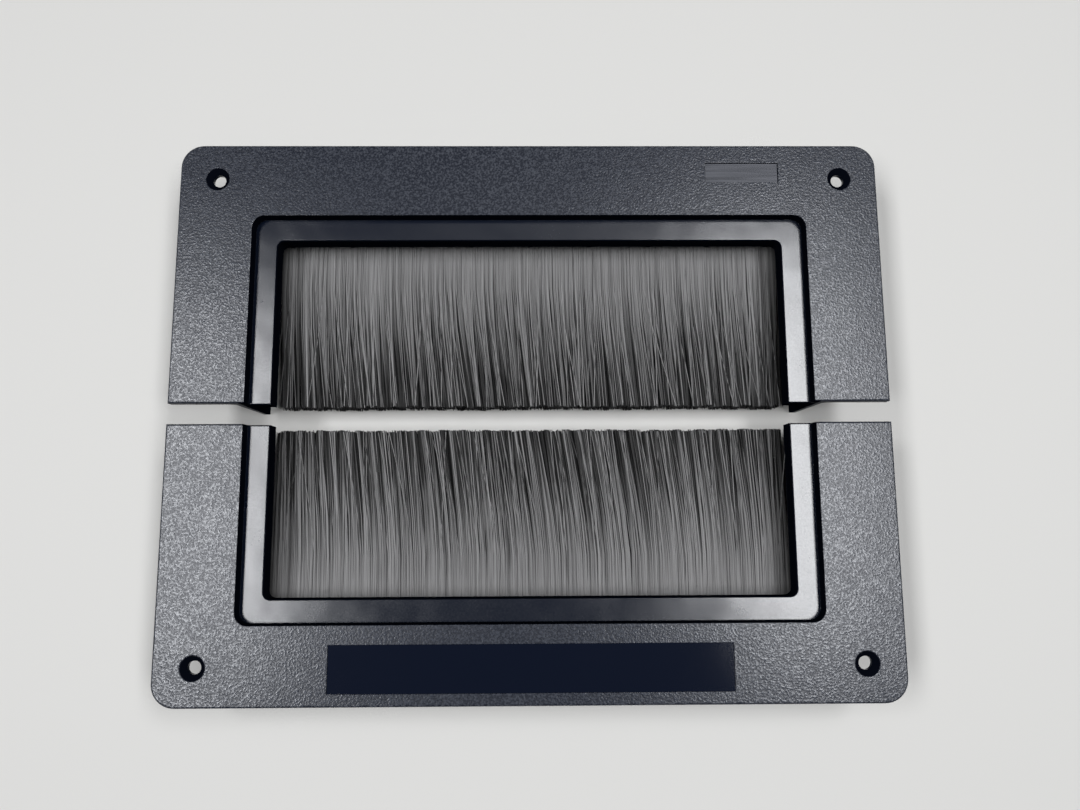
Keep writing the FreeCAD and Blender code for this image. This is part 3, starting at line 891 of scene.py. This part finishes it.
@dataclass(frozen=True)
class TuftLayout:
    """The tufts of a layer: unequal, in groups, parted by furrows that fade towards the channel."""

    groups: int = 12
    places: tuple[float, ...] = (0.0, 0.21, 0.50, 0.72)
    shortening: tuple[float, ...] = (0.0, 0.3 * MM, 0.0, 0.6 * MM)
    furrow_width: float = 2.2 * MM
    furrow_depth: float = 1.6 * MM
    furrow_length: float = 39.0 * MM
    gap: float = 0.5 * MM
    gap_length: float = 38.0 * MM
    lean: float = 3.5 * MM
    lean_length: float = 44.0 * MM
    free_from: float = 14.0 * MM
    held: float = 0.45

    def edges(self, half: float, phase: float) -> np.ndarray:
        """Edges of the tufts from one end of the strip to the other.

        Args:
            half: Half of the strip's length.
            phase: Start of the first group, as a share of a group.

        Returns:
            The places, in rising order.
        """
        starts = np.arange(self.groups)[:, None] + np.array(self.places)
        inner = (starts.ravel() + phase) * (2 * half / self.groups) - half
        return np.concatenate(([-half], inner, [half]))

    def shortened(self, tuft: np.ndarray) -> np.ndarray:
        """How much shorter each strand's tuft, numbered along the strip from 0, is cut."""
        return np.where(tuft > 0, np.array(self.shortening)[(tuft - 1) % len(self.shortening)], 0.0)

    def opening(self, from_tip: np.ndarray, below_face: np.ndarray) -> np.ndarray:
        """Half width of the room between two tufts.

        Args:
            from_tip: Distance from the tips.
            below_face: Depth below the layer's open face.

        Returns:
            The half widths.
        """
        fade = np.clip(1 - from_tip / self.furrow_length, 0, 1)
        furrow = self.furrow_width / 2 * np.clip(fade - below_face / self.furrow_depth, 0, 1)
        return np.maximum(furrow, self.gap / 2 * np.clip(1 - from_tip / self.gap_length, 0, 1))

    def leaning(self, from_tip: np.ndarray, behind: np.ndarray, ahead: np.ndarray) -> np.ndarray:
        """Sideways shift of the tufts, held back by little room behind or ahead of their roots."""
        freedom = np.clip(ahead / self.free_from, 0, 1) * np.clip(behind / self.free_from, self.held, 1)
        return self.lean * freedom[:, None] * np.clip(1 - from_tip / self.lean_length, 0, 1)


@dataclass
class BrushLayer:
    """The filaments of one strip, as thousands of separate strands."""

    side: Side
    layer: Layer
    strands: int
    finish: bpy.types.Material
    tufts: TuftLayout = TuftLayout()
    radius: float = 0.17 * MM
    sides: int = 3
    root_depth: float = 2.0 * MM
    root_half: float = 1.75 * MM
    mouth_half: float = 1.46 * MM
    tip_half: float = 2.76 * MM
    height_step: float = 0.6180340
    tone_step: float = 0.7548777
    stray_step: float = 0.5698403
    crowding: float = 1.8
    tuft_openness: tuple[float, float] = (0.75, 1.02)
    wisp_widths: tuple[float, float] = (0.7 * MM, 2.4 * MM)
    wisp_gather: tuple[float, float] = (0.15, 0.70)
    wisp_lean: float = 0.55 * MM
    wisp_levels: int = 3
    wisp_depth: float = 0.34
    slow_leans: tuple[float, ...] = (1.0 * MM, 0.5 * MM)
    slow_lengths: tuple[float, ...] = (38.0 * MM, 13.0 * MM)
    stray_share: float = 0.16
    stray_lean: float = 3.2 * MM
    small_lean: float = 0.55 * MM
    bow: float = 0.16 * MM
    sag: float = 0.08 * MM
    spread_start: float = 0.14
    spread_power: float = 1.4
    tip_wave: float = 0.25 * MM
    tip_wave_length: float = 9.0 * MM
    tip_wave_turn: float = 6.0
    tip_ragged: float = 0.18 * MM
    short_share: float = 0.02
    short_most: float = 1.6 * MM
    twist: float = 0.45
    tone_range: tuple[float, float] = (0.82, 1.0)
    # Painted shade towards the tips, with stray strands kept light
    stray_tone: float = 0.85
    tip_shade_power: float = 3.6
    fade_start: tuple[float, float] = (-0.10, 0.50)
    fade_length: float = 0.55
    # Painted shade at the strip's ends, next to the walls
    end_shade_length: float = 4.6 * MM
    end_painted_shade: float = 0.05
    # Painted shade with depth below the layer's face
    lit_depth: float = 0.12 * MM
    dark_depths: tuple[float, float] = (0.85 * MM, 0.23 * MM)
    map_margin: float = 0.02
    stations: tuple[float, ...] = (0.0, 0.05, 0.30, 0.52, 0.70, 0.86, 1.0)

    def build(self) -> bpy.types.Object:
        """Make the strands and let them stand for the CAD layer.

        Returns:
            The finished piece.
        """
        node = self.side.node(f"{self.layer.value}_bristles")
        name = f"{node}_strands"
        mesh = self.repeated_strand(name)
        ring = np.empty(len(mesh.vertices) * 3, np.float32)
        mesh.vertices.foreach_get("co", ring)
        ring = ring.reshape(-1, 3)[: len(mesh.vertices) // self.strands]
        places, tones = self.strand_places(node, ring)
        mesh.vertices.foreach_set("co", places.astype(np.float32).ravel())
        self.add_map(mesh, ring, tones)
        mesh.update()
        mesh.materials.append(self.finish)
        piece = new_object(name, mesh)
        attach(piece, BODY)
        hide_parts(node)
        return piece

    def repeated_strand(self, name: str) -> bpy.types.Mesh:
        """One straight strand of unit length, drawn out from a ring and repeated in place.

        Args:
            name: Name of the mesh.

        Returns:
            The mesh, with the strands one after the other.
        """
        shape = bmesh.new()
        bmesh.ops.create_circle(shape, cap_ends=True, segments=self.sides, radius=1.0)
        end = shape.faces[:]
        for low, high in zip(self.stations, self.stations[1:]):
            drawn = bmesh.ops.extrude_face_region(shape, geom=end)["geom"]
            end = [item for item in drawn if isinstance(item, bmesh.types.BMFace)]
            moved = [item for item in drawn if isinstance(item, bmesh.types.BMVert)]
            bmesh.ops.translate(shape, vec=(0.0, 0.0, high - low), verts=moved)
        bmesh.ops.recalc_face_normals(shape, faces=shape.faces[:])
        source = new_object(f"{name}_source", meshed(name, shape))
        copies = source.modifiers.new("copies", "ARRAY")
        copies.count = self.strands
        copies.use_relative_offset = False
        return baked(name, source)

    def strand_places(self, node: str, ring: np.ndarray) -> tuple[np.ndarray, np.ndarray]:
        """Where every vertex of every strand goes.

        Args:
            node: CAD layer whose room the strands fill.
            ring: Vertices of the straight strand: across in x and y, along in z.

        Returns:
            Places and tones, by strand and vertex.
        """
        draw = np.random.default_rng(SEEDS[self.side, self.layer])
        low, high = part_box(node)
        tip = min(abs(low.y), abs(high.y))
        root = self.mouth_distance() + self.root_depth
        number = np.arange(self.strands)
        along = ring[:, 2]
        limit = high.x - self.radius
        start = ((number + draw.random(self.strands)) / self.strands * 2 - 1) * limit
        outward = 1 - 2 * ((number * self.height_step) % 1.0) ** self.crowding
        halves = (self.root_half, self.mouth_half, self.tip_half)
        half = np.interp(along, (0.0, self.stations[1], 1.0), halves)
        below_face = np.outer(1 - outward, half)
        spread = np.clip((along - self.spread_start) / (1 - self.spread_start), 0, 1) ** self.spread_power
        edges = self.tufts.edges(high.x, self.layer.phase)
        tuft = np.searchsorted(edges, start) - 1
        width = np.diff(edges)[tuft]
        middle = edges[tuft] + width / 2
        reach = root - tip - self.tufts.shortened(tuft) - self.ragged_ends(draw, start)
        openness = draw.uniform(*self.tuft_openness, len(edges))[tuft]
        from_tip = np.outer(reach, 1 - along)
        gather = self.tufts.opening(from_tip, below_face) * (openness / (width / 2))[:, None]
        x = start[:, None] + (middle - start)[:, None] * gather
        x += self.tufts.leaning(from_tip, limit + start, limit - start)
        stray = (number * self.stray_step) % 1.0 < self.stray_share
        x += np.outer(self.sideways(draw, start, outward, stray), spread)
        x += np.outer(draw.normal(0.0, self.bow, self.strands), np.sin(np.pi * along))
        sag = np.outer(np.abs(draw.normal(0.0, self.sag, self.strands)), spread)
        z = (low.z + high.z) / 2 + self.layer.outward * (np.outer(outward, half) - sag)
        y = root - np.outer(reach, along)
        turn = np.pi * (self.layer is Layer.UPPER) + draw.normal(0.0, self.twist, self.strands)[:, None]
        across = self.radius * (ring[:, 0] * np.cos(turn) - ring[:, 1] * np.sin(turn))
        upright = self.radius * (ring[:, 0] * np.sin(turn) + ring[:, 1] * np.cos(turn))
        x = np.clip(x, -limit, limit) + across
        places = np.stack((x * self.side.value, y * self.side.value, z + upright), axis=-1)
        return places, self.strand_tones(draw, along, below_face, limit - np.abs(start), stray)

    def strand_tones(
        self, draw: np.random.Generator, along: np.ndarray, below_face: np.ndarray, from_end: np.ndarray,
        stray: np.ndarray,
    ) -> np.ndarray:
        """How light every strand is painted: it fades into painted shade towards its tip, with its depth and
        at the strip's ends.

        Args:
            draw: Source of chance.
            along: Place of each vertex along its strand, from 0 at the root to 1 at the tip.
            below_face: Depth below the layer's open face, by strand and vertex.
            from_end: Distance of each root from the nearer end of the strip.
            stray: Which strands cross the others.

        Returns:
            Tones from 0 to 1, by strand and vertex.
        """
        # Painted shade by depth: strands below the layer's face are darker
        dark_depth = np.interp(along, (0.0, 1.0), self.dark_depths)
        shade = np.clip((dark_depth - below_face) / (dark_depth - self.lit_depth), 0, 1)
        at_root = draw.uniform(*self.tone_range, self.strands)
        # Painted shade towards the tips: most strands fade dark, a few stay light
        at_tip = (np.arange(self.strands) * self.tone_step % 1.0) ** self.tip_shade_power
        at_tip[stray] = self.stray_tone
        fade = (along - draw.uniform(*self.fade_start, self.strands)[:, None]) / self.fade_length
        # Painted shade at the strip's ends, where the arms overhang
        end = np.interp(from_end, (0.0, self.end_shade_length), (self.end_painted_shade, 1.0))
        tones = at_root[:, None] + (at_tip - at_root)[:, None] * np.clip(fade, 0, 1)
        return shade * end[:, None] * tones

    def ragged_ends(self, draw: np.random.Generator, start: np.ndarray) -> np.ndarray:
        """How much each strand falls short of its tuft's end.

        Args:
            draw: Source of chance.
            start: Place of each root across the strip.

        Returns:
            The lengths.
        """
        ragged = np.abs(draw.normal(0.0, self.tip_ragged, len(start)))
        turn = draw.uniform(0, self.tip_wave_turn)
        ragged += self.tip_wave * (1 + np.sin(start / self.tip_wave_length + turn)) / 2
        short = draw.random(len(start)) < self.short_share
        return ragged + short * draw.uniform(0, self.short_most, len(start))

    def mouth_distance(self) -> float:
        """Distance from the middle of the set to the mouth of the strip's channel."""
        low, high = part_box(self.side.node(f"{self.layer.value}_brush_channel"))
        return min(abs(low.y), abs(high.y))

    def sideways(
        self, draw: np.random.Generator, start: np.ndarray, outward: np.ndarray, stray: np.ndarray
    ) -> np.ndarray:
        """How far each strand's tip leans: with the whole row, with its wisp, and by itself.

        Args:
            draw: Source of chance.
            start: Place of each root across the strip.
            outward: Height of each strand towards the layer's open face, from -1 to 1.
            stray: Which strands cross the others.

        Returns:
            Sideways shift of each tip.
        """
        turns = draw.uniform(0, 2 * np.pi, len(self.slow_leans))
        lean = self.side.row_lean * np.cos(np.pi / 2 * start / start.max())
        for most, length, turn in zip(self.slow_leans, self.slow_lengths, turns):
            lean += most * np.sin(start / length + turn)
        level = np.minimum((1 - outward) / self.wisp_depth * self.wisp_levels, self.wisp_levels)
        for number in range(self.wisp_levels + 1):
            here = level.astype(int) == number
            lean[here] += gathered(draw, start[here], self.wisp_widths, self.wisp_gather, self.wisp_lean)
        return lean + draw.normal(0.0, np.where(stray, self.stray_lean, self.small_lean))

    def add_map(self, mesh: bpy.types.Mesh, ring: np.ndarray, tones: np.ndarray) -> None:
        """Lay each strand's faces on the map: its tone across, its length along.

        Args:
            mesh: Mesh of all strands.
            ring: Vertices of the straight strand.
            tones: Tones, by strand and vertex.
        """
        corner = np.empty(len(mesh.loops), np.int32)
        mesh.loops.foreach_get("vertex_index", corner)
        strand, vertex = np.divmod(corner, len(ring))
        margin = self.map_margin
        across = margin + (1 - 4 * margin) * tones[strand, vertex] + margin * (1 + ring[vertex, 0])
        uv = np.stack((across, ring[vertex, 2]), axis=-1).astype(np.float32)
        layer = mesh.uv_layers.new(name=UV_NAME)
        layer.uv.foreach_set("vector", uv.ravel())


@dataclass(frozen=True)
class SoftBox:
    """A rectangular studio light that faces the object."""

    name: str
    place: tuple[float, float, float]
    width: float
    depth: float
    radiance: float

    def build(self) -> None:
        """Hang the light. An area lamp's energy is four times its radiance times its area."""
        lamp = bpy.data.lights.new(self.name, "AREA")
        lamp.shape = "RECTANGLE"
        lamp.size = self.width
        lamp.size_y = self.depth
        lamp.energy = self.radiance * 4 * self.width * self.depth
        holder = bpy.data.objects.new(self.name, lamp)
        bpy.context.scene.collection.objects.link(holder)
        holder.location = self.place
        holder.rotation_euler = (-Vector(self.place)).to_track_quat("-Z", "X").to_euler()


@dataclass(frozen=True)
class Studio:
    """Pale floor, two soft boxes, a weak one behind, the surrounding and the camera."""

    boxes: tuple[SoftBox, ...] = (
        SoftBox("left_light", (-0.62, -0.02, 1.20), width=0.22, depth=0.78, radiance=13.6),
        SoftBox("right_light", (0.48, 0.07, 1.20), width=0.26, depth=0.80, radiance=11.8),
        SoftBox("rear_light", (0.14, 0.52, 1.20), width=0.26, depth=0.80, radiance=0.4),
    )
    floor_half: float = 3.0
    surround: float = 0.06
    horizon: float = 0.66
    horizon_heights: tuple[float, float] = (0.12, 0.45)
    image_width: float = 1080.0
    focal_length: float = 796.9
    sensor: float = 36.0
    nearest: float = 10.0 * MM
    camera_place: tuple[float, float, float] = (0.1 * MM, -39.6 * MM, 340.2 * MM)
    camera_turn: tuple[float, float, float] = (7.919, -0.624, -0.294)

    def build(self) -> None:
        """Set up the scene round the object."""
        self.lay_floor()
        for box in self.boxes:
            box.build()
        bpy.context.scene.world = self.surrounding()
        bpy.context.scene.view_settings.view_transform = "Standard"
        self.place_camera()

    def surrounding(self) -> bpy.types.World:
        """Dim light that looks pale round the horizon.

        Returns:
            The world.
        """
        graph = Graph(bpy.data.worlds.new("surrounding"))
        _, _, height = graph.parts(graph.signal("ShaderNodeTexCoord", "Generated", {}, {}))
        pale = graph.background_rays() * (1.0 - height.rising(*self.horizon_heights))
        strength = self.surround + pale * (self.horizon - self.surround)
        return graph.finish({"Color": (1.0, 1.0, 1.0), "Strength": strength})

    def lay_floor(self) -> None:
        """Lay the floor under the collars."""
        shape = bmesh.new()
        bmesh.ops.create_grid(shape, x_segments=1, y_segments=1, size=self.floor_half)
        mesh = meshed("floor", shape)
        mesh.materials.append(FloorFinish().material())
        new_object("floor", mesh)

    def place_camera(self) -> None:
        """Put the camera where the photograph was taken from."""
        lens = bpy.data.cameras.new("camera")
        lens.sensor_width = self.sensor
        lens.lens = self.focal_length / self.image_width * self.sensor
        lens.clip_start = self.nearest
        camera = bpy.data.objects.new("camera", lens)
        bpy.context.scene.collection.objects.link(camera)
        camera.location = self.camera_place
        camera.rotation_euler = [math.radians(angle) for angle in self.camera_turn]
        bpy.context.scene.camera = camera


def dress(node: str, material: bpy.types.Material) -> None:
    """Give a CAD node its finish through its object's slots.

    Args:
        node: Name of the node.
        material: Its finish.
    """
    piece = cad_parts[node]
    for slot in piece.material_slots:
        slot.link = "OBJECT"
        slot.material = material
    LOG.info("%s dressed with %s", node, material.name)


def main() -> None:
    """Build the pieces in order and report each."""
    logging.basicConfig(level=logging.INFO, format="%(message)s")
    layout = FrameLayout(top=CAD_BOX[1].z)
    moulding = MouldedFrameFinish(layout).material()
    nylon = NylonFinish().material()
    channel = GalvanisedFinish("brush_channel").material()
    wire = GalvanisedFinish("core_wire", roughness=0.30).material()
    bar = RetainerFinish().material()
    zinc = GalvanisedFinish("fasteners", pale=(0.66, 0.66, 0.63), dull=(0.52, 0.52, 0.50)).material()
    for side in Side:
        piece = MouldedHalf(side, moulding, layout.top).build()
        LOG.info("%s: %d faces", piece.name, len(piece.data.polygons))
        for layer in Layer:
            piece = BrushLayer(side, layer, layer.strands, nylon).build()
            LOG.info("%s: %d strands", piece.name, layer.strands)
            dress(side.node(f"{layer.value}_brush_channel"), channel)
            dress(side.node(f"{layer.value}_brush_wire"), wire)
        dress(side.node("retainer"), bar)
        piece = RetainerScrews(side, zinc).build()
        LOG.info("%s: %d faces", piece.name, len(piece.data.polygons))
    Studio().build()


if __name__ == "__main__":
    main()
